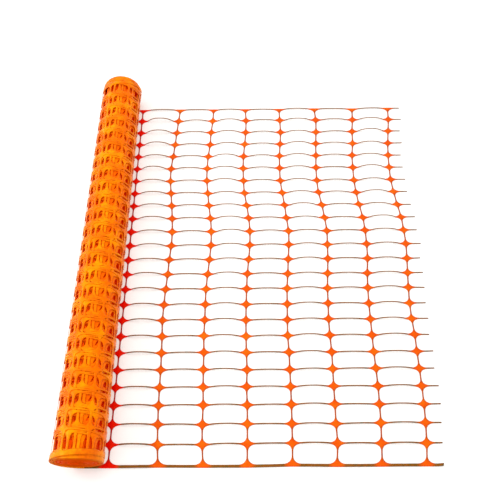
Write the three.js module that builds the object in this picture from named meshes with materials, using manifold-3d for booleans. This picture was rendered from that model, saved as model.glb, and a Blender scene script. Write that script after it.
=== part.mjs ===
// Plastic barrier fence: one net of moulded orange plastic. Most of it is still wound into a roll,
// and a stretch runs out from under the roll and lies flat on the floor, up to a cut free end.
// Millimetres, +Z up, the floor at Z = 0. X runs along the net and away from the roll, and Y runs
// across its width, parallel to the roll's axis. The origin is under the middle of the whole object.
import * as THREE from "three";
import { mergeVertices } from "three/addons/utils/BufferGeometryUtils.js";
import Module from "manifold-3d";

// The net's size and its cells
const FENCE_WIDTH = 1000; // from selvedge to selvedge: the height of the fence once it stands
const CELL_ROWS = 24; // cells across the width
const CELL_LENGTH = 100; // crossing to crossing, along the net
const LAID_CELLS = 7; // whole cells that lie flat
const CUT_STUB = 36; // strand left beyond the last crossings, at the cut end
const NET_THICKNESS = 1.8;

// The plastic between the cells
const STRAND_WIDTH = 2.6; // a long strand at the middle of its span
const STRAND_ROOT = 3.6; // the same strand where it leaves a crossing
const LINK_WIDTH = 3.8; // the short links between one row and the next
const CROSSING_LENGTH = 32; // the diamond at a crossing, along the net
const CROSSING_WIDTH = 16; // the diamond across the net
const EDGE_CROSSING = 15; // the half diamond on a selvedge, from the outer edge inwards
const NEAR_SELVEDGE = 5; // width of the edge strand on the near side
const FAR_SELVEDGE = 3.6; // width of the edge strand on the far side

// The roll
const ROLL_RADIUS = 56.9;
const BORE_RADIUS = 18; // the hollow that the first turn was wound around
const ROLL_SIDES = 20;
const ROLL_BACK = 52.5; // from the first crossings back to the roll's axis
const NEAR_OVERHANG = 14; // how far the turns have slipped out past the near selvedge
const FAR_OVERHANG = 34; // the same past the far selvedge
const END_RIDGES = 5; // turns that show as ridges on each end
const RIDGE_DEPTH = 5; // from a ridge's crest to the valley beside it
const SLOT_WIDTH = 18; // a ring of slots on the roll, where the cells of many turns line up
const SLOT_DEPTH = 6; // how deep such a ring is at its middle
const NEAR_SLIDE = 1.3; // how far the turns' rows have slid along the roll, at the near selvedge
const FAR_SLIDE = 6.7; // the same at the far selvedge
const STRAND_BITE = 1; // from the edge of the roll's flat foot to where the strands end inside it

// How the laid net lies: strands bow up off the floor, and the columns wander sideways
const STRAND_RISE = 5;
const ROLL_RISE = 2; // extra rise in the first span, where the net still has the roll's curl
const ROLL_RISE_FADE = 100; // distance from the roll over which that extra rise fades
const FAR_RISE = 4; // extra rise that builds up towards the far selvedge
const SELVEDGE_RISE = 0.3; // share of that rise on the two selvedges, which lie flatter
const SWAY = 10; // sideways bend that all the columns share
const SWAY_CENTRE = 670; // where that bend crosses over, from the near selvedge
const SWAY_WAVE = 500;
const SWAY_SPREAD = 290;
const NEAR_GATHER = 0.04; // how much the near selvedge has drawn together
const NEAR_GATHER_FADE = 60;
const FAR_RIPPLE = 8; // uneven spacing of the columns at the far selvedge
const FAR_RIPPLE_WAVE = 620;
const FAR_RIPPLE_START = 80;
const FAR_RIPPLE_FADE = 90;
const HOLD_FADE = 60; // the roll holds the first crossings in line, and this far on the net is free

const rowPitch = FENCE_WIDTH / CELL_ROWS;
const tip = CROSSING_LENGTH / 2;
const side = LINK_WIDTH / 2;
const lastCrossing = LAID_CELLS * CELL_LENGTH;
const freeEnd = lastCrossing + CUT_STUB;
const footHalfWidth = ROLL_RADIUS * Math.sin(Math.PI / ROLL_SIDES);
const axisHeight = ROLL_RADIUS * Math.cos(Math.PI / ROLL_SIDES);
const rollEnd = -ROLL_BACK + footHalfWidth + STRAND_BITE;

// The two edges of the strand along a row of crossings, where it is as wide as given.
function strandEdges(row, width) {
  const v = row * rowPitch;
  if (row === 0) return [v, v + NEAR_SELVEDGE];
  if (row === CELL_ROWS) return [v - FAR_SELVEDGE, v];
  return [v - width / 2, v + width / 2];
}

// How far a crossing reaches from its row's line towards the next row.
function crossingReach(row) {
  return row === 0 || row === CELL_ROWS ? EDGE_CROSSING : CROSSING_WIDTH / 2;
}

// The diamond at a crossing, cut off flat where a strand or a link leaves it.
function crossing(column, row) {
  const u = column * CELL_LENGTH;
  const v = row * rowPitch;
  const reach = crossingReach(row);
  const [low, high] = strandEdges(row, STRAND_ROOT);
  const outline = [[u - tip, low]];
  if (row > 0) outline.push([u - side, v - reach], [u + side, v - reach]);
  outline.push([u + tip, low], [u + tip, high]);
  if (row < CELL_ROWS) outline.push([u + side, v + reach], [u - side, v + reach]);
  outline.push([u - tip, high]);
  return outline;
}

// A straight length of the strand along a row.
function strand(row, start, startWidth, end, endWidth) {
  const [startLow, startHigh] = strandEdges(row, startWidth);
  const [endLow, endHigh] = strandEdges(row, endWidth);
  return [
    [start, startLow],
    [end, endLow],
    [end, endHigh],
    [start, startHigh],
  ];
}

// The link from a crossing to the one on the next row.
function link(column, row) {
  const u = column * CELL_LENGTH;
  const low = row * rowPitch + crossingReach(row);
  const high = (row + 1) * rowPitch - crossingReach(row + 1);
  return [
    [u - side, low],
    [u + side, low],
    [u + side, high],
    [u - side, high],
  ];
}

// How high the strands bow off the floor: nothing at a crossing, most at the middle of a span.
function rise(u, v) {
  if (u < 0 || u > lastCrossing) return 0;
  const along = ((u % CELL_LENGTH) - tip) / (CELL_LENGTH - CROSSING_LENGTH);
  if (along <= 0 || along >= 1) return 0;
  const height =
    STRAND_RISE + ROLL_RISE * Math.exp(-u / ROLL_RISE_FADE) + (FAR_RISE * v) / FENCE_WIDTH;
  const onSelvedge = v <= NEAR_SELVEDGE || v >= FENCE_WIDTH - FAR_SELVEDGE;
  return height * (onSelvedge ? SELVEDGE_RISE : 1) * Math.sin(Math.PI * along);
}

// How far a point of the net lies from its place in an even grid, along the net.
function wander(u, v) {
  const free = 1 - Math.exp(-Math.max(u, 0) / HOLD_FADE);
  const off = v - SWAY_CENTRE;
  const sway =
    -SWAY * Math.sin((2 * Math.PI * off) / SWAY_WAVE) * Math.exp(-((off / SWAY_SPREAD) ** 2));
  const gather = -NEAR_GATHER * (u - lastCrossing / 2) * Math.exp(-v / NEAR_GATHER_FADE);
  const ripple =
    FAR_RIPPLE *
    Math.cos((2 * Math.PI * (u - FAR_RIPPLE_START)) / FAR_RIPPLE_WAVE) *
    Math.exp(-(FENCE_WIDTH - v) / FAR_RIPPLE_FADE);
  return free * (sway + gather + ripple);
}

// A plate of one thickness from flat pieces that share edges: a face on each side of every piece,
// and a wall along each edge that only one piece has.
function plate(pieces) {
  const name = (point) => point.map((value) => value.toFixed(3)).join(" ");
  const rim = new Map();
  const corners = [];
  const corner = ([u, v], top) => {
    corners.push(u + wander(u, v), v, rise(u, v) + (top ? NET_THICKNESS : 0));
  };
  for (const piece of pieces) {
    piece.forEach((from, i) => {
      const to = piece[(i + 1) % piece.length];
      const edge = `${name(from)} to ${name(to)}`;
      if (!rim.delete(`${name(to)} to ${name(from)}`)) rim.set(edge, [from, to]);
    });
    for (let i = 1; i < piece.length - 1; i++) {
      const face = [piece[0], piece[i], piece[i + 1]];
      face.forEach((point) => corner(point, true));
      face.reverse().forEach((point) => corner(point, false));
    }
  }
  for (const [from, to] of rim.values()) {
    [from, to].forEach((point) => corner(point, false));
    corner(to, true);
    corner(from, false);
    [to, from].forEach((point) => corner(point, true));
  }
  const geometry = new THREE.BufferGeometry();
  geometry.setAttribute("position", new THREE.Float32BufferAttribute(corners, 3));
  return geometry;
}

// The stretch of net that lies flat, from inside the roll's foot to the cut end.
function laidNet() {
  const pieces = [];
  for (let row = 0; row <= CELL_ROWS; row++) {
    pieces.push(strand(row, rollEnd, STRAND_WIDTH, -tip, STRAND_ROOT));
    for (let column = 0; column <= LAID_CELLS; column++) {
      const u = column * CELL_LENGTH;
      const middle = u + CELL_LENGTH / 2;
      pieces.push(crossing(column, row));
      if (row < CELL_ROWS) pieces.push(link(column, row));
      if (column === LAID_CELLS) continue;
      pieces.push(strand(row, u + tip, STRAND_ROOT, middle, STRAND_WIDTH));
      pieces.push(strand(row, middle, STRAND_WIDTH, u + CELL_LENGTH - tip, STRAND_ROOT));
    }
    pieces.push(strand(row, lastCrossing + tip, STRAND_ROOT, freeEnd, STRAND_WIDTH));
  }
  return plate(pieces);
}

// A ring of slots round the roll, between one row of crossings and the next.
function slotRing(row) {
  const even = (row + 0.5) * rowPitch;
  const middle = even + NEAR_SLIDE + ((FAR_SLIDE - NEAR_SLIDE) * even) / FENCE_WIDTH;
  return [
    new THREE.Vector2(ROLL_RADIUS, middle - SLOT_WIDTH / 2),
    new THREE.Vector2(ROLL_RADIUS - SLOT_DEPTH, middle),
    new THREE.Vector2(ROLL_RADIUS, middle + SLOT_WIDTH / 2),
  ];
}

// The roll, turned about its axis: its turns show as ridges on both ends, around an open bore,
// and the rows of their cells as rings of slots between solid bands.
function woundRoll() {
  const ridge = (ROLL_RADIUS - BORE_RADIUS) / END_RIDGES;
  const slip = (turn) => 0.8 + 0.2 * Math.cos(2 * turn); // turns have slipped by uneven amounts
  const end = (edge, out, overhang) => {
    const points = [];
    for (let turn = 0; turn < END_RIDGES; turn++) {
      const crest = edge + out * overhang * slip(turn + 1 - END_RIDGES);
      const inner = BORE_RADIUS + turn * ridge;
      points.push(
        new THREE.Vector2(inner, crest - out * RIDGE_DEPTH),
        new THREE.Vector2(inner + ridge / 2, crest),
      );
    }
    points.push(new THREE.Vector2(ROLL_RADIUS, edge + out * (overhang - RIDGE_DEPTH / 2)));
    return points;
  };
  const profile = [
    ...end(0, -1, NEAR_OVERHANG),
    ...Array.from({ length: CELL_ROWS }, (_, row) => slotRing(row)).flat(),
    ...end(FENCE_WIDTH, 1, FAR_OVERHANG).reverse(),
  ];
  profile.push(profile[0].clone());
  const roll = new THREE.LatheGeometry(profile, ROLL_SIDES, Math.PI / ROLL_SIDES);
  roll.translate(-ROLL_BACK, 0, axisHeight);
  return roll;
}

const wasm = await Module();
wasm.setup();

// A closed geometry as a solid, and back again.
function toSolid(geometry) {
  const bare = geometry.index ? geometry.toNonIndexed() : geometry.clone();
  bare.deleteAttribute("normal");
  bare.deleteAttribute("uv");
  const merged = mergeVertices(bare, 1e-4);
  return new wasm.Manifold(
    new wasm.Mesh({
      numProp: 3,
      vertProperties: new Float32Array(merged.getAttribute("position").array),
      triVerts: new Uint32Array(merged.index.array),
    }),
  );
}

function toGeometry(solid) {
  const mesh = solid.getMesh();
  const geometry = new THREE.BufferGeometry();
  geometry.setAttribute("position", new THREE.BufferAttribute(mesh.vertProperties, 3));
  geometry.setIndex(new THREE.BufferAttribute(mesh.triVerts, 1));
  return geometry;
}

const orangePlastic = new THREE.MeshStandardMaterial({
  color: 0xf67a14,
  roughness: 0.45,
  metalness: 0,
});

// The net is one moulding, so the roll and the laid stretch are one solid.
const fenceGeometry = toGeometry(toSolid(woundRoll()).add(toSolid(laidNet())));
fenceGeometry.computeBoundingBox();
const middle = fenceGeometry.boundingBox.getCenter(new THREE.Vector3());
const fence = new THREE.Mesh(fenceGeometry, orangePlastic);
fence.name = "fence_net";
fence.position.set(-middle.x, -middle.y, 0);

const barrierFence = new THREE.Group();
barrierFence.add(fence);

export default barrierFence;
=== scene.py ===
"""Plastic barrier fence: a roll of orange net, with a stretch of it laid out flat beside the roll.

The net is shaped as one flat sheet first. In it, u runs along the net, v across it from the near
selvedge, and h through its thickness, in millimetres, and u = 0 is the first line of crossings
beside the roll. Every part of the sheet is then laid on the floor or wound round the roll's axis.
"""

import math

import bpy
import numpy as np
from mathutils import Matrix, Vector


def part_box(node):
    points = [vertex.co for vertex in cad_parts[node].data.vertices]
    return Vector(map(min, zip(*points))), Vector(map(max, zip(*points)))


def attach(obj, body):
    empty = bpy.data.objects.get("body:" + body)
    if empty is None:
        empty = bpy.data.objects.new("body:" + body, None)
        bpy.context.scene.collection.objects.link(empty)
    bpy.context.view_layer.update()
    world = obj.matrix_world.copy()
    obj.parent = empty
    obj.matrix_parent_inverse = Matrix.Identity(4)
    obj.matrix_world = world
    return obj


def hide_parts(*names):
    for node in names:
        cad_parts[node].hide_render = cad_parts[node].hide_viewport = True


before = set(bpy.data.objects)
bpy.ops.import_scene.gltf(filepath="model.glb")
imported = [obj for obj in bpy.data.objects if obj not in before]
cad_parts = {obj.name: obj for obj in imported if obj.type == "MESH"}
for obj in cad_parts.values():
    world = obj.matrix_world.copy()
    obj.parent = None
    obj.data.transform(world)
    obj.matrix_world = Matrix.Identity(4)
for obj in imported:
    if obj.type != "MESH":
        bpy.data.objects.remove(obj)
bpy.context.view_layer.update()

MILLIMETRES = 1000  # in a metre
SEED = 24

# The cells of the net, in millimetres
FENCE_WIDTH = 1000
CELL_ROWS = 24
CELL_LENGTH = 100
LAID_CELLS = 7
ROW_PITCH = FENCE_WIDTH / CELL_ROWS

# The plastic between the cells
LAID_WIDTHS = (2.8, 3.2, 4.6, 3.0)  # strands, links, near selvedge and far selvedge
WOUND_WIDTHS = (3.4, 5.2, 12, 9)  # as they press flat in the roll
BURIED_WIDTHS = (4.2, 7.0, 12, 9)  # the same below the surface, where neighbours lie side by side
NODE_THICKNESS = 1.8
STRAND_THICKNESS = 1.3
NODE_TIP = 17.5  # from a crossing's middle to where its flank has run into the strand
NODE_REACH = 12.5  # the same across the net, where it has run into the link
NODE_WAIST = (4.2, 2.7)  # the corner that a flank curves round
FLANK_STEPS = (0.25, 0.2)  # how far a flank's ends still stand off the strand and the link
STRAND_BLEND = (7, 22)  # from a crossing's middle: where its plastic turns into the strand's
LINK_BLEND = (4, 13)
NODE_CROWN = 4  # power of the outline of a section: flattened at a crossing
STRAND_CROWN = 2  # and round in a strand
SELVEDGE_TIP = 20
SELVEDGE_REACH = 15.5
SELVEDGE_WAIST = (4.6, 4.4)
PLACE_DRIFT = 0.7  # how unevenly the crossings are placed
STUBS = (33, 40)  # shortest and longest strand left at the cut end

# How finely the crossings are shaped: steps along half a strand, a flank and half a link
FINEST = (5, 6, 4)
FINE = (4, 4, 2)
LIGHT = (3, 4, 1)
MEDIUM = (3, 2, 1)
COARSE = (2, 2, 1)
ROUND_SECTION = (0, 0.68, 1)  # shares of the way from the middle of the plastic out to its edge
FLAT_SECTION = (0, 1)
PIECE_CELLS = (10, 24, 46)  # wound cells, from the outside, up to which the roll's outer pieces go
WELD_STEPS = 200  # steps in a millimetre by which points are taken for the same

# The roll
NEAR_OVERHANG = 14  # how far its turns stand out past the ends of an even grid
FAR_OVERHANG = 34
END_CELL = (20, 38)  # from where to where, before an end, the plastic shifts out with it
NEAR_LEAN = 2.5  # how much further out the top of the near end stands than its middle
ROLL_TAPER = 2  # how much thinner the roll is at its far end
ROLL_BACK = 52.5  # from the first crossings back to the roll's axis
FIRST_PITCH = 0.34  # how much the radius drops in the outermost turn, whose strands nest
TURN_PITCH = 0.64  # the same well inside
NESTED_TURNS = 10  # over which one becomes the other
BORE_RADIUS = 18
MOST_TURNS = 80
SPIRAL_STEPS = 40001
SQUEEZE = 0.62  # the wound net is pressed thinner than the laid one
TURN_SHIFT = (1.3, 5.4)  # shift of all turns along the axis at the near selvedge, and added at the far
LOOSENESS = 0.7  # how far the outer turn bows away from the ones below it
SETTLING = 0.2  # how far it lies below its place otherwise
OUTSIDE_ANGLE = 6  # angle of the spiral over which these and the flare of the ends fade
GRIP_ANGLE = 1.5  # the same over which the roll takes hold of the laid net
TURN_SLIP = ((6.6, 0.71, 0.4), (3.6, 0.43, 2))  # waves that shift each turn: height, speed and start
INNER_SLIP = 0.8  # how much more the turns below the surface are shifted
INNER_DEPTH = (2.5, 7)  # from where to where that grows
COLUMN_SLIP = 2.2  # how unevenly the lines of crossings come to lie round the roll
NEAR_FLARE = 4.4  # how far the outer turns spread at the near end
NEAR_FLARE_BACK = 0.8  # how much more they spread behind the axis than before it
FAR_FLARE = 2.5
END_FLARE_FADE = 25
END_WAVES = (0.83, 0.29)  # speeds of two waves in how far the turns have slid out at the ends
END_WAVE_SHARE = 0.4  # how high the second is beside the first
END_WAVE_STARTS = (1, 3)  # where they start, at the near and at the far end
END_OUTER = (0.5, 0.36)  # share of the overhang that the outer turns have, and its unevenness
END_INNER = (0.74, 0.03, 0.2)  # the same for the turns below, and how high their ridges are
END_RIDGE = 7.8  # from one group of turns that stands out at an end to the next
END_SHOULDER = 5  # depth over which END_OUTER gives way to END_INNER

# How the laid net lies
SPAN_RISE = 5  # how high a strand bows off the floor between two crossings
ROLL_RISE = 2  # added beside the roll
ROLL_RISE_FADE = 100
FAR_RISE = 3  # added at the far selvedge
SELVEDGE_RISE = 0.3  # share of that rise on the selvedges, which lie flatter
SPAN_SWELL = 0.3  # how unevenly the spans along the net bow
SPAN_BOWS = (0.8, 1.2)  # smallest and largest share of the rise that a strand has
BOW_OVERLAP = 4  # how far a bow reaches past the tips of its crossings
BOW_FLATNESS = 2.4
SWAY = 10  # how far the columns wander along the net
SWAY_CENTRE = 670
SWAY_WAVE = 500
SWAY_SPREAD = 290
NEAR_GATHER = 0.04  # how much shorter the cells are at the near selvedge
NEAR_GATHER_FADE = 60
FAR_RIPPLE = 8  # how unevenly the columns end at the far selvedge
FAR_RIPPLE_WAVE = 620
FAR_RIPPLE_START = 80
FAR_RIPPLE_FADE = 90
HOLD_FADE = 60  # length over which the net is free of the roll
NEAR_SPREAD = 12  # how far the near selvedge lies beyond an even grid
NEAR_SPREAD_FADE = 36
FAR_SAG = 5.5  # how far the rows towards the far side have drifted to the near side
FAR_SAG_START = 600
CORNER_CURL = 7  # how high the cut strand at the near corner turns up
CURL_LENGTH = 31

# Photograph: where its camera stood, in metres and degrees, and its focal length in pixels
CAMERA_PLACE = (-0.0016, -0.8226, 1.4641)
CAMERA_YAW = -0.549
CAMERA_PITCH = 60.155
CAMERA_ROLL = 0.936
FOCAL_PIXELS = 660
FRAME_PIXELS = 500
SENSOR_WIDTH = 36

# The floor, in metres: from its middle to a side, and how far it lies below the net
FLOOR_SIZE = 30
FLOOR_DROP = 0.0003

net_low, net_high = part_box("fence_net")
axis_height = net_high.z * MILLIMETRES / 2
axis_x = net_low.x * MILLIMETRES + axis_height
first_crossings = axis_x + ROLL_BACK
near_edge = net_low.y * MILLIMETRES + NEAR_OVERHANG
outer_radius = axis_height - NODE_THICKNESS / 2
last_crossings = LAID_CELLS * CELL_LENGTH
chance = np.random.default_rng(SEED)


# The spiral of the roll: its angle, radius and length of net at fine steps
turn_count = np.linspace(0, MOST_TURNS, SPIRAL_STEPS)
spiral_angle = 2 * np.pi * turn_count
nested = NESTED_TURNS * (1 - np.exp(-turn_count / NESTED_TURNS))
spiral_radius = outer_radius - TURN_PITCH * turn_count + (TURN_PITCH - FIRST_PITCH) * nested
spiral_length = np.concatenate([[0], np.cumsum(spiral_radius[1:] * np.diff(spiral_angle))])
wound_length = np.interp(-BORE_RADIUS, -spiral_radius, spiral_length)
WOUND_CELLS = int((wound_length + ROLL_BACK) / CELL_LENGTH)

grid_columns = WOUND_CELLS + LAID_CELLS + 3
place_drift = chance.normal(0, PLACE_DRIFT, (2, grid_columns, CELL_ROWS + 1))
column_slip = chance.normal(0, COLUMN_SLIP, (grid_columns, 1)).repeat(CELL_ROWS + 1, 1)
span_bow = chance.uniform(*SPAN_BOWS, (grid_columns, CELL_ROWS + 1))
stub_length = chance.uniform(*STUBS, CELL_ROWS + 1)


def smooth(value, low=0, high=1):
    """Eases from 0 to 1 as a value goes from low to high."""
    share = np.clip((value - low) / (high - low), 0, 1)
    return share * share * (3 - 2 * share)


def bend(start, corner, end, steps):
    """Points on the curve that leaves start and reaches end, both in line with the corner."""
    t = np.linspace(0, 1, steps + 1)[:, None]
    start, corner, end = map(np.array, (start, corner, end))
    return (1 - t) ** 2 * start + 2 * t * (1 - t) * corner + t**2 * end


def run(start, end, steps):
    """Evenly spaced points on a straight line."""
    return bend(start, (np.array(start) + np.array(end)) / 2, end, steps)


class Patch:
    """The plastic round one crossing, as strips of quads on both faces of the sheet."""

    def __init__(self, steps, levels, widths):
        self.strand_width, self.link_width = widths[:2]
        self.strand_steps, self.node_steps, self.link_steps = steps
        self.levels = np.array(levels)
        self.corners = np.zeros((0, 5))
        self.quads = np.zeros((0, 4), int)

    def strip(self, spine, edge, mirror, centre=0.0, turned_over=False):
        """Adds the strip between a spine line and an edge line, mirrored as asked."""
        out = spine[:, None] + self.levels[:, None] * (edge - spine)[:, None]
        strand = smooth(np.abs(spine[:, 0]), *STRAND_BLEND)
        link = smooth(np.abs(spine[:, 1] - centre), *LINK_BLEND)
        slim = np.maximum(strand, link)
        half = (NODE_THICKNESS + (STRAND_THICKNESS - NODE_THICKNESS) * slim) / 2
        crown = NODE_CROWN + (STRAND_CROWN - NODE_CROWN) * slim[:, None]
        dome = (1 - self.levels[None] ** crown) ** 0.5
        height = half[:, None] * dome
        count = len(spine)
        across = len(self.levels)
        kinds = np.stack([strand, link], -1)[:, None].repeat(across, 1)
        index = np.arange(count * across).reshape(count, across)
        quads = np.stack([index[:-1, :-1], index[:-1, 1:], index[1:, 1:], index[1:, :-1]], -1)
        quads = quads.reshape(-1, 4)
        if (mirror[0] * mirror[1] < 0) != turned_over:
            quads = quads[:, ::-1]
        for face in (1, -1):
            points = np.concatenate([out * mirror, face * height[..., None], kinds], -1)
            self.quads = np.concatenate([self.quads, quads[:, ::face] + len(self.corners)])
            self.corners = np.concatenate([self.corners, points.reshape(-1, 5)])

    def quarter(self, tip, reach, waist, strand_width, mirror, centre=0.0):
        """Adds a quarter of a crossing: half a strand, a flank of the node and half a link."""
        middle = (CELL_LENGTH / 2, centre)
        halves = self.node_steps // 2
        spine = np.concatenate(
            [
                run(middle, (tip, centre), self.strand_steps),
                run((tip, centre), (0, centre), halves)[1:],
                run((0, centre), (0, reach), halves)[1:],
                run((0, reach), (0, ROW_PITCH / 2), self.link_steps)[1:],
            ]
        )
        side = centre + strand_width / 2
        root = side + FLANK_STEPS[0]
        link = self.link_width / 2
        link_root = link + FLANK_STEPS[1]
        edge = np.concatenate(
            [
                run((middle[0], side), (tip, root), self.strand_steps),
                bend((tip, root), waist, (link_root, reach), self.node_steps)[1:],
                run((link_root, reach), (link, ROW_PITCH / 2), self.link_steps)[1:],
            ]
        )
        self.strip(spine, edge, mirror, centre)
        return spine[: self.strand_steps + halves + 1]


def inner_patch(*form):
    """A crossing inside the net, with four flanks."""
    patch = Patch(*form)
    for mirror in ((1, 1), (-1, 1), (-1, -1), (1, -1)):
        patch.quarter(NODE_TIP, NODE_REACH, NODE_WAIST, patch.strand_width, mirror)
    return patch


def selvedge_patch(width, inwards, *form):
    """A half crossing on a selvedge: two flanks on the inner side and a straight outer edge."""
    patch = Patch(*form)
    centre = width / 2
    for side in (1, -1):
        waist = (SELVEDGE_WAIST[0], SELVEDGE_WAIST[1] + centre / 2)
        mirror = (side, inwards)
        along = patch.quarter(SELVEDGE_TIP, SELVEDGE_REACH, waist, width, mirror, centre)
        outer = along * (1, 0)
        patch.strip(along, outer, mirror, centre, turned_over=True)
    return patch


def read(grid, u, v):
    """The value of a grid of crossings between them, in straight steps along both directions."""
    column = np.clip(u / CELL_LENGTH + WOUND_CELLS + 1, 0, grid.shape[0] - 1.001)
    row = np.clip(v / ROW_PITCH, 0, CELL_ROWS - 0.001)
    c, r = column.astype(int), row.astype(int)
    a, b = column - c, row - r
    near = grid[c, r] * (1 - b) + grid[c, r + 1] * b
    far = grid[c + 1, r] * (1 - b) + grid[c + 1, r + 1] * b
    return near * (1 - a) + far * a


def read_span(grid, u, v):
    """The value of the span between two crossings that a point belongs to."""
    column = np.floor(u / CELL_LENGTH).astype(int) + WOUND_CELLS + 1
    row = np.rint(v / ROW_PITCH).astype(int)
    return grid[np.clip(column, 0, grid.shape[0] - 1), np.clip(row, 0, CELL_ROWS)]


def wander(u, v):
    """How far a point of the laid net lies from its place in an even grid, along the net."""
    free = 1 - np.exp(-np.maximum(u, 0) / HOLD_FADE)
    off = v - SWAY_CENTRE
    sway = -SWAY * np.sin(2 * np.pi * off / SWAY_WAVE) * np.exp(-((off / SWAY_SPREAD) ** 2))
    gather = -NEAR_GATHER * (u - last_crossings / 2) * np.exp(-v / NEAR_GATHER_FADE)
    ripple = FAR_RIPPLE * np.cos(2 * np.pi * (u - FAR_RIPPLE_START) / FAR_RIPPLE_WAVE)
    ripple = ripple * np.exp(-(FENCE_WIDTH - v) / FAR_RIPPLE_FADE)
    return free * (sway + gather + ripple)


def spread(v):
    """How far the rows lie from their places in an even grid, across the net."""
    sag = FAR_SAG * np.sin(np.pi * np.clip((v - FAR_SAG_START) / (FENCE_WIDTH - FAR_SAG_START), 0, 1))
    return -NEAR_SPREAD * np.exp(-v / NEAR_SPREAD_FADE) - sag


def rise(u, v):
    """How high a strand of the laid net bows off the floor."""
    tip = NODE_TIP - BOW_OVERLAP
    along = ((u % CELL_LENGTH) - tip) / (CELL_LENGTH - 2 * tip)
    spans = (u > 0) & (u < last_crossings) & (along > 0) & (along < 1)
    height = SPAN_RISE + ROLL_RISE * np.exp(-u / ROLL_RISE_FADE) + FAR_RISE * v / FENCE_WIDTH
    height = height * (1 + SPAN_SWELL * np.cos(np.pi * np.floor(u / CELL_LENGTH)))
    row = np.rint(v / ROW_PITCH)
    height = np.where((row == 0) | (row == CELL_ROWS), SELVEDGE_RISE, 1) * height
    bow = 1 - np.abs(2 * np.clip(along, 0, 1) - 1) ** BOW_FLATNESS
    return np.where(spans, height * bow * read_span(span_bow, u, v), 0)


def lay(u, v, h):
    """The sheet laid out on the floor, away from the roll."""
    row = np.rint(v / ROW_PITCH).astype(int)
    tip = last_crossings + NODE_TIP
    beyond = np.maximum(u - tip, 0)
    shorter = (stub_length[row] - NODE_TIP) / (CELL_LENGTH / 2 - NODE_TIP)
    cut = np.where(u > tip, tip + beyond * shorter, u)
    curl = CORNER_CURL * (beyond / CURL_LENGTH) ** 2 * (row == 0)
    free = 1 - np.exp(-np.maximum(u, 0) / HOLD_FADE)
    x = first_crossings + cut + wander(u, v) + free * read(place_drift[0], u, v)
    y = near_edge + v + free * read(place_drift[1], u, v) + spread(v)
    z = NODE_THICKNESS / 2 + h + rise(u, v) + curl
    return np.stack([x, y, z], -1)


def turned(u):
    """The angle that the roll has turned when the net has reached u, from under the axis."""
    return np.interp(-ROLL_BACK - u, spiral_length, spiral_angle)


def turn_depth(angle):
    """How deep below the roll's surface the net lies at an angle of the spiral."""
    return outer_radius - np.interp(angle, spiral_angle, spiral_radius)


def turn_slip(angle):
    """How the turns lie off their line along the axis, in millimetres."""
    waves = sum(high * np.sin(speed * angle + start) for high, speed, start in TURN_SLIP)
    return waves * (1 + INNER_SLIP * smooth(turn_depth(angle), *INNER_DEPTH))


def end_slip(angle, start):
    """How far each turn has slid out at an end of the roll, from 0 to 1."""
    waves = np.sin(END_WAVES[0] * angle + start)
    waves = waves + END_WAVE_SHARE * np.sin(END_WAVES[1] * angle + 2 * start)
    depth = turn_depth(angle)
    outer = END_OUTER[0] + END_OUTER[1] * waves
    ridges = END_INNER[2] * np.cos(2 * np.pi * depth / END_RIDGE)
    inner = END_INNER[0] + END_INNER[1] * waves + ridges
    return outer + (inner - outer) * smooth(depth, 0, END_SHOULDER)


def wind(u, v, h):
    """The sheet wound about the roll's axis: under it, up behind it, and on round inwards."""
    loose = 1 - np.exp(-np.maximum(-ROLL_BACK - u, 0) / HOLD_FADE)
    angle = turned(u - loose * read(column_slip, u, v))
    taper = ROLL_TAPER * v / FENCE_WIDTH
    radius = outer_radius - turn_depth(angle) - taper
    held = 1 - np.exp(-angle / GRIP_ANGLE)
    outside = np.exp(-angle / OUTSIDE_ANGLE)
    upper = (1 - np.cos(angle)) / 2
    near_flare = NEAR_FLARE * (1 + NEAR_FLARE_BACK * np.sin(angle)) * np.exp(-v / END_FLARE_FADE)
    far_flare = FAR_FLARE * np.exp(-(FENCE_WIDTH - v) / END_FLARE_FADE)
    bowed = (read_span(span_bow, u, v) - SPAN_BOWS[0]) / (SPAN_BOWS[1] - SPAN_BOWS[0])
    bow = np.sin(np.pi * u / CELL_LENGTH) ** 2 * bowed
    flare = upper * (near_flare + far_flare)
    radius = radius + held * outside * (LOOSENESS * bow - SETTLING + flare) - SQUEEZE * h
    slid = TURN_SHIFT[0] + TURN_SHIFT[1] * v / FENCE_WIDTH + turn_slip(angle)
    slid = slid + read(place_drift[1], u, v)
    first_cell = 1 - smooth(v, *END_CELL)
    last_cell = 1 - smooth(FENCE_WIDTH - v, *END_CELL)
    slid = slid * (1 - np.maximum(first_cell, last_cell))
    lean = NEAR_LEAN * np.cos(angle) * radius / outer_radius
    slid = slid - (NEAR_OVERHANG * end_slip(angle, END_WAVE_STARTS[0]) - lean) * first_cell
    slid = slid + FAR_OVERHANG * end_slip(angle, END_WAVE_STARTS[1]) * last_cell
    x = axis_x - radius * np.sin(angle)
    y = near_edge + v + held * slid + (1 - held) * spread(v)
    z = axis_height - taper - radius * np.cos(angle)
    return np.stack([x, y, z], -1)


def capped(quads):
    """The quads as a list of faces, with one more face over each open end."""
    edges = np.stack([quads, np.roll(quads, -1, 1)], -1).reshape(-1, 2)
    size = int(edges.max()) + 1
    forward = edges[:, 0] * size + edges[:, 1]
    backward = edges[:, 1] * size + edges[:, 0]
    open_edges = edges[~np.isin(backward, forward)]
    after = {b: a for a, b in open_edges.tolist()}
    faces = quads.tolist()
    while after:
        start, corner = after.popitem()
        cap = [start]
        while corner != start:
            cap.append(corner)
            corner = after.pop(corner)
        faces.append(cap)
    return faces


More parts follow.
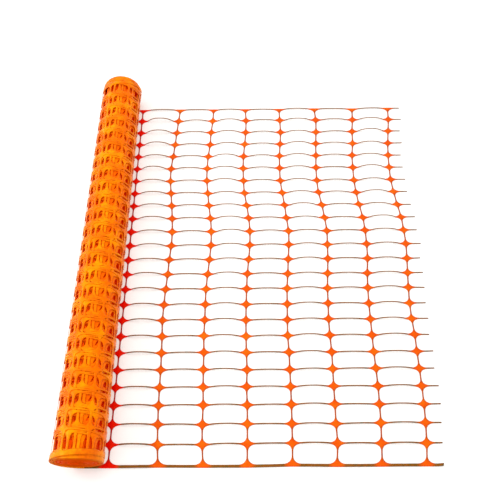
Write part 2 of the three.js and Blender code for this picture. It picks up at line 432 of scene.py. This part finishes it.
def net_piece(name, patches, columns, rows):
    """Builds a part of the net from patches, one for each kind of row, and joins them up."""
    corners, quads, count = [], [], 0
    for row in rows:
        patch = patches["near" if row == 0 else "far" if row == CELL_ROWS else "inner"]
        shift = np.zeros((len(columns), 1, 5))
        shift[:, 0, 0] = np.array(columns) * CELL_LENGTH
        shift[:, 0, 1] = row * ROW_PITCH
        corners.append((patch.corners[None] + shift).reshape(-1, 5))
        starts = count + np.arange(len(columns)) * len(patch.corners)
        quads.append((patch.quads[None] + starts[:, None, None]).reshape(-1, 4))
        count += len(corners[-1])
    corners, quads = np.concatenate(corners), np.concatenate(quads)
    steps = np.rint(corners[:, :3] * WELD_STEPS).astype(np.int64)
    _, first, same = np.unique(steps, axis=0, return_index=True, return_inverse=True)
    corners, quads = corners[first], same.reshape(-1)[quads]

    u, v, h = corners[:, 0], corners[:, 1], corners[:, 2]
    is_laid = (u > -ROLL_BACK)[:, None]
    points = np.where(is_laid, lay(u, v, h), wind(u, v, h)) / MILLIMETRES
    mesh = bpy.data.meshes.new(name)
    mesh.from_pydata(points.tolist(), [], capped(quads))
    depth = np.where(is_laid[:, 0], 0, turn_depth(turned(u)))
    fields = {
        "strand": corners[:, 3],
        "link": corners[:, 4],
        "along": u / MILLIMETRES,
        "depth": depth / MILLIMETRES,
    }
    for field, values in fields.items():
        mesh.attributes.new(field, "FLOAT", "POINT").data.foreach_set("value", values)
    mesh.shade_smooth()
    piece = bpy.data.objects.new(name, mesh)
    bpy.context.collection.objects.link(piece)
    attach(piece, "root")
    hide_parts("fence_net")
    return piece


def patch_set(steps, levels, widths):
    """The patches for inner rows and both selvedges, at one fineness."""
    return {
        "inner": inner_patch(steps, levels, widths),
        "near": selvedge_patch(widths[2], 1, steps, levels, widths),
        "far": selvedge_patch(widths[3], -1, steps, levels, widths),
    }


class Socket:
    """A node's output. Arithmetic on it adds Math nodes, and node() adds any other node."""

    def __init__(self, tree, output=None):
        self.tree = tree
        self.output = output

    def node(self, kind, settings=None, sockets=None, output=0):
        """Adds a node, with its settings first and then the values or links of its sockets."""
        added = self.tree.nodes.new(kind)
        for name, value in (settings or {}).items():
            setattr(added, name, value)
        for name, value in (sockets or {}).items():
            if isinstance(value, Socket):
                self.tree.links.new(value.output, added.inputs[name])
            else:
                added.inputs[name].default_value = value
        return Socket(self.tree, added.outputs[output] if added.outputs else None)

    def maths(self, operation, *values):
        return self.node("ShaderNodeMath", {"operation": operation}, dict(enumerate(values)))

    def mix(self, factor, first, second):
        """Mixes two colours."""
        sockets = {0: factor, 6: first, 7: second}
        return self.node("ShaderNodeMix", {"data_type": "RGBA"}, sockets, output=2)

    def ease(self, low, high):
        """Goes smoothly from 0 to 1 as this value goes from low to high."""
        sockets = {"Value": self, "From Min": low, "From Max": high}
        return self.node("ShaderNodeMapRange", {"interpolation_type": "SMOOTHSTEP"}, sockets)

    def __add__(self, other):
        return self.maths("ADD", self, other)

    def __rsub__(self, other):
        return self.maths("SUBTRACT", other, self)

    def __mul__(self, other):
        return self.maths("MULTIPLY", self, other)

    def __abs__(self):
        return self.maths("ABSOLUTE", self)

    __radd__ = __add__
    __rmul__ = __mul__


def tone(red, green, blue):
    """A colour given as it looks on a screen, from 0 to 255, in the linear light that shaders use."""
    light = [((c / 255 + 0.055) / 1.055) ** 2.4 if c > 10 else c / 3295 for c in (red, green, blue)]
    return (*light, 1.0)


# The colours of the plastic and of the floor, with the painted light, shade and glow of the plastic
NODE_ORANGE = tone(216, 76, 8)
NODE_SUNNED = tone(224, 92, 8)
NODE_DEEP = tone(198, 56, 6)
STRAND_BROWN = tone(88, 70, 26)
LINK_BROWN = tone(120, 48, 14)
# Painted light: the roll's plastic, sunned blotches too, is a lighter, yellower copy of the laid net's
# orange, for the brighter light on its top
ROLL_LIT_ORANGE = tone(238, 106, 0)
ROLL_SUNNED_LIT = tone(248, 138, 0)
# Painted shade and painted glow for the deep turns of the roll
ROLL_DEEP_SHADE = tone(246, 84, 0)
GLOW_DEEP = tone(92, 8, 0)
SHADED_RED = tone(226, 2, 2)
SHADED_CRIMSON = tone(146, 8, 24)
GLOSS_TINT = tone(255, 206, 60)
NO_GLOW = tone(0, 0, 0)
FLOOR_WHITE = tone(206, 206, 205)
FLOOR_GREY = tone(200, 200, 199)
FLOOR_GLOW = tone(255, 250, 244)

# Painted shade, painted glow and dulling: where on the net, in metres, each change sets in and is
# complete
SHADED_STRIP = (0.011, 0.024)  # on both sides of the first crossings, which lie in the roll's red light
# Depths in the roll over which the painted shade, then the painted glow, set in
DEEP_SHADE_DEPTH = (0.003, 0.013)
GLOW_DEPTH = (0.001, 0.006)
DULL_DEPTH = (0.001, 0.008)
ROLL_ENDS = (0.498, 0.51)  # from the middle of the net: where the ends of the roll lose the glow

# The finish: over which values of the noise its marks come in, and how strong they are
SUN_RANGE = (0.42, 0.68)
SCUFF_RANGE = (0.45, 0.75)
SCUFF_SHARE = 0.35
STRAND_WEAR = (0.8, 0.2)  # share of brown on a strand, and added by scuffs
LINK_WEAR = (0.6, 0.3)
SHADED_LINK = 0.8
ROLL_WEAR = 0.12  # share of the laid net's wear that the roll has
GRIT = 0.6  # how deep the dust's marks are beside the grain's
ROUGHNESS = 0.34
SCUFF_ROUGHNESS = 0.2
STRAND_ROUGHNESS = 0.1
DEEP_ROUGHNESS = 0.3


def net_plastic(name, face, sun, wear_and_shade):
    """Moulded orange plastic with a soft gloss, duller where it was stretched into strands, with painted
    shade beside the roll and painted shade and glow deep in it.
    """
    material = bpy.data.materials.new(name)
    material.use_nodes = True
    tree = material.node_tree
    tree.nodes.clear()
    start = Socket(tree)
    place = start.node("ShaderNodeTexCoord", output=3)
    strand, link, along, depth = (
        start.node("ShaderNodeAttribute", {"attribute_name": field}, output=2)
        for field in ("strand", "link", "along", "depth")
    )
    blotches = start.node("ShaderNodeTexNoise", None, {"Vector": place, "Scale": 26.0, "Detail": 3.0})
    grain = start.node("ShaderNodeTexNoise", None, {"Vector": place, "Scale": 900.0, "Detail": 4.0})
    dust = start.node("ShaderNodeTexNoise", None, {"Vector": place, "Scale": 160.0, "Detail": 5.0})
    sunned = blotches.ease(*SUN_RANGE)
    scuffed = dust.ease(*SCUFF_RANGE)
    colour = start.mix(sunned, face, sun)
    colour = start.mix(scuffed * SCUFF_SHARE, colour, NODE_DEEP)
    strand_wear = STRAND_WEAR[0] + STRAND_WEAR[1] * scuffed
    colour = start.mix(strand * strand_wear * wear_and_shade, colour, STRAND_BROWN)
    link_wear = LINK_WEAR[0] + LINK_WEAR[1] * scuffed
    colour = start.mix(link * link_wear * wear_and_shade, colour, LINK_BROWN)
    # Painted shade and red bounce light on the crossings beside the roll
    beside_roll = (1 - abs(along).ease(*SHADED_STRIP)) * wear_and_shade
    shaded = start.mix(link * SHADED_LINK, SHADED_RED, SHADED_CRIMSON)
    colour = start.mix(beside_roll, colour, shaded)
    # Painted shade: the deeper turns of the roll are coloured darker and redder
    colour = start.mix(depth.ease(*DEEP_SHADE_DEPTH), colour, ROLL_DEEP_SHADE)
    across = place.node("ShaderNodeSeparateXYZ", None, {"Vector": place}, output=1)
    enclosed = 1 - abs(across).ease(*ROLL_ENDS)
    # Painted glow: the deep turns are self-lit dark red, in place of light passing through the plastic
    glow = start.mix(depth.ease(*GLOW_DEPTH) * enclosed, NO_GLOW, GLOW_DEEP)
    grit = grain + dust * GRIT
    bump = start.node("ShaderNodeBump", None, {"Strength": 0.25, "Distance": 0.0004, "Height": grit})
    roughness = ROUGHNESS + SCUFF_ROUGHNESS * scuffed + STRAND_ROUGHNESS * strand
    shader = start.node(
        "ShaderNodeBsdfPrincipled",
        None,
        {
            "Base Color": colour,
            "Roughness": roughness + DEEP_ROUGHNESS * depth.ease(*DULL_DEPTH),
            "IOR": 1.49,
            "Specular IOR Level": 0.2,
            "Specular Tint": GLOSS_TINT,
            "Emission Color": glow,
            "Emission Strength": 1.0,
            "Normal": bump,
        },
    )
    start.node("ShaderNodeOutputMaterial", None, {"Surface": shader})
    return material


def floor_finish():
    """A plain pale studio floor, faintly mottled, and faintly lit by itself."""
    material = bpy.data.materials.new("studio_floor")
    material.use_nodes = True
    tree = material.node_tree
    tree.nodes.clear()
    start = Socket(tree)
    place = start.node("ShaderNodeTexCoord", output=3)
    mottle = start.node("ShaderNodeTexNoise", None, {"Vector": place, "Scale": 3.0, "Detail": 4.0})
    colour = start.mix(mottle, FLOOR_WHITE, FLOOR_GREY)
    sockets = {
        "Base Color": colour,
        "Roughness": 0.8,
        "Emission Color": FLOOR_GLOW,
        "Emission Strength": 0.36,
    }
    shader = start.node("ShaderNodeBsdfPrincipled", None, sockets)
    start.node("ShaderNodeOutputMaterial", None, {"Surface": shader})
    return material


def build_net():
    """The whole net: the laid stretch, and the roll with its outer turns modelled most finely."""
    finest = patch_set(FINEST, ROUND_SECTION, LAID_WIDTHS)
    fine = patch_set(FINE, ROUND_SECTION, WOUND_WIDTHS)
    light = patch_set(LIGHT, ROUND_SECTION, WOUND_WIDTHS)
    medium = patch_set(MEDIUM, ROUND_SECTION, BURIED_WIDTHS)
    coarse = patch_set(COARSE, FLAT_SECTION, BURIED_WIDTHS)
    all_rows = range(CELL_ROWS + 1)
    end_rows = (0, 1, CELL_ROWS - 1, CELL_ROWS)
    outer_end, second_end, middle_end = (-cells for cells in PIECE_CELLS)
    laid = net_piece("laid_net", finest, range(LAID_CELLS + 1), all_rows)
    laid.data.materials.append(net_plastic("laid_plastic", NODE_ORANGE, NODE_SUNNED, 1.0))
    # The roll gets the lighter copy of the plastic, painted light on its top
    roll_plastic = net_plastic("rolled_plastic", ROLL_LIT_ORANGE, ROLL_SUNNED_LIT, ROLL_WEAR)
    outer = net_piece("roll_outer_turns", fine, range(outer_end, 0), all_rows)
    second = net_piece("roll_second_turns", light, range(second_end, outer_end), all_rows)
    middle = net_piece("roll_middle_turns", medium, range(middle_end, second_end), all_rows)
    inner = range(-WOUND_CELLS, middle_end)
    near_end = net_piece("roll_inner_turns_near_end", medium, inner, end_rows[:2])
    far_end = net_piece("roll_inner_turns_far_end", medium, inner, end_rows[2:])
    core = net_piece("roll_inner_turns", coarse, inner, range(2, CELL_ROWS - 1))
    for piece in (outer, second, middle, near_end, far_end, core):
        piece.data.materials.append(roll_plastic)


def build_floor():
    """A wide pale floor just under the net."""
    signs = ((-1, -1), (1, -1), (1, 1), (-1, 1))
    corners = [(FLOOR_SIZE * x, FLOOR_SIZE * y, -FLOOR_DROP) for x, y in signs]
    mesh = bpy.data.meshes.new("floor")
    mesh.from_pydata(corners, [], [(0, 1, 2, 3)])
    mesh.materials.append(floor_finish())
    floor = bpy.data.objects.new("floor", mesh)
    bpy.context.collection.objects.link(floor)


def add_softbox(name, place, size, power, target=(0, 0, 0)):
    """A square studio light that faces the target."""
    light = bpy.data.lights.new(name, "AREA")
    light.shape = "SQUARE"
    light.size = size
    light.energy = power
    lamp = bpy.data.objects.new(name, light)
    lamp.location = place
    lamp.rotation_mode = "QUATERNION"
    lamp.rotation_quaternion = (Vector(target) - Vector(place)).to_track_quat("-Z", "Y")
    bpy.context.collection.objects.link(lamp)


def light_studio():
    """White surroundings, a broad light overhead and a smaller one from the left."""
    world = bpy.data.worlds.new("studio")
    world.use_nodes = True
    background = world.node_tree.nodes["Background"]
    background.inputs["Color"].default_value = (1, 1, 1, 1)
    background.inputs["Strength"].default_value = 0.85
    bpy.context.scene.world = world
    bpy.context.scene.view_settings.view_transform = "Standard"
    add_softbox("overhead", place=(-0.2, 0.3, 3.0), size=3.2, power=56)
    add_softbox("left", place=(-2.2, -0.1, 1.4), size=0.8, power=30, target=(-0.3, 0, 0))


def aim_camera():
    """The photograph's camera, from where it stood and how it was turned."""
    yaw, pitch, roll = map(math.radians, (CAMERA_YAW, CAMERA_PITCH, CAMERA_ROLL))
    forward = Vector((math.sin(yaw) * math.cos(pitch), math.cos(yaw) * math.cos(pitch), -math.sin(pitch)))
    level = Vector((math.cos(yaw), -math.sin(yaw), 0))
    down = forward.cross(level)
    right = math.cos(roll) * level + math.sin(roll) * down
    below = math.cos(roll) * down - math.sin(roll) * level
    lens = bpy.data.cameras.new("camera")
    lens.sensor_width = SENSOR_WIDTH
    lens.lens = lens.sensor_width * FOCAL_PIXELS / FRAME_PIXELS
    lens.clip_start = 0.05
    camera = bpy.data.objects.new("camera", lens)
    turn = Matrix((right, -below, -forward)).transposed().to_4x4()
    camera.matrix_world = Matrix.Translation(CAMERA_PLACE) @ turn
    bpy.context.collection.objects.link(camera)
    bpy.context.scene.camera = camera


build_net()
build_floor()
light_studio()
aim_camera()
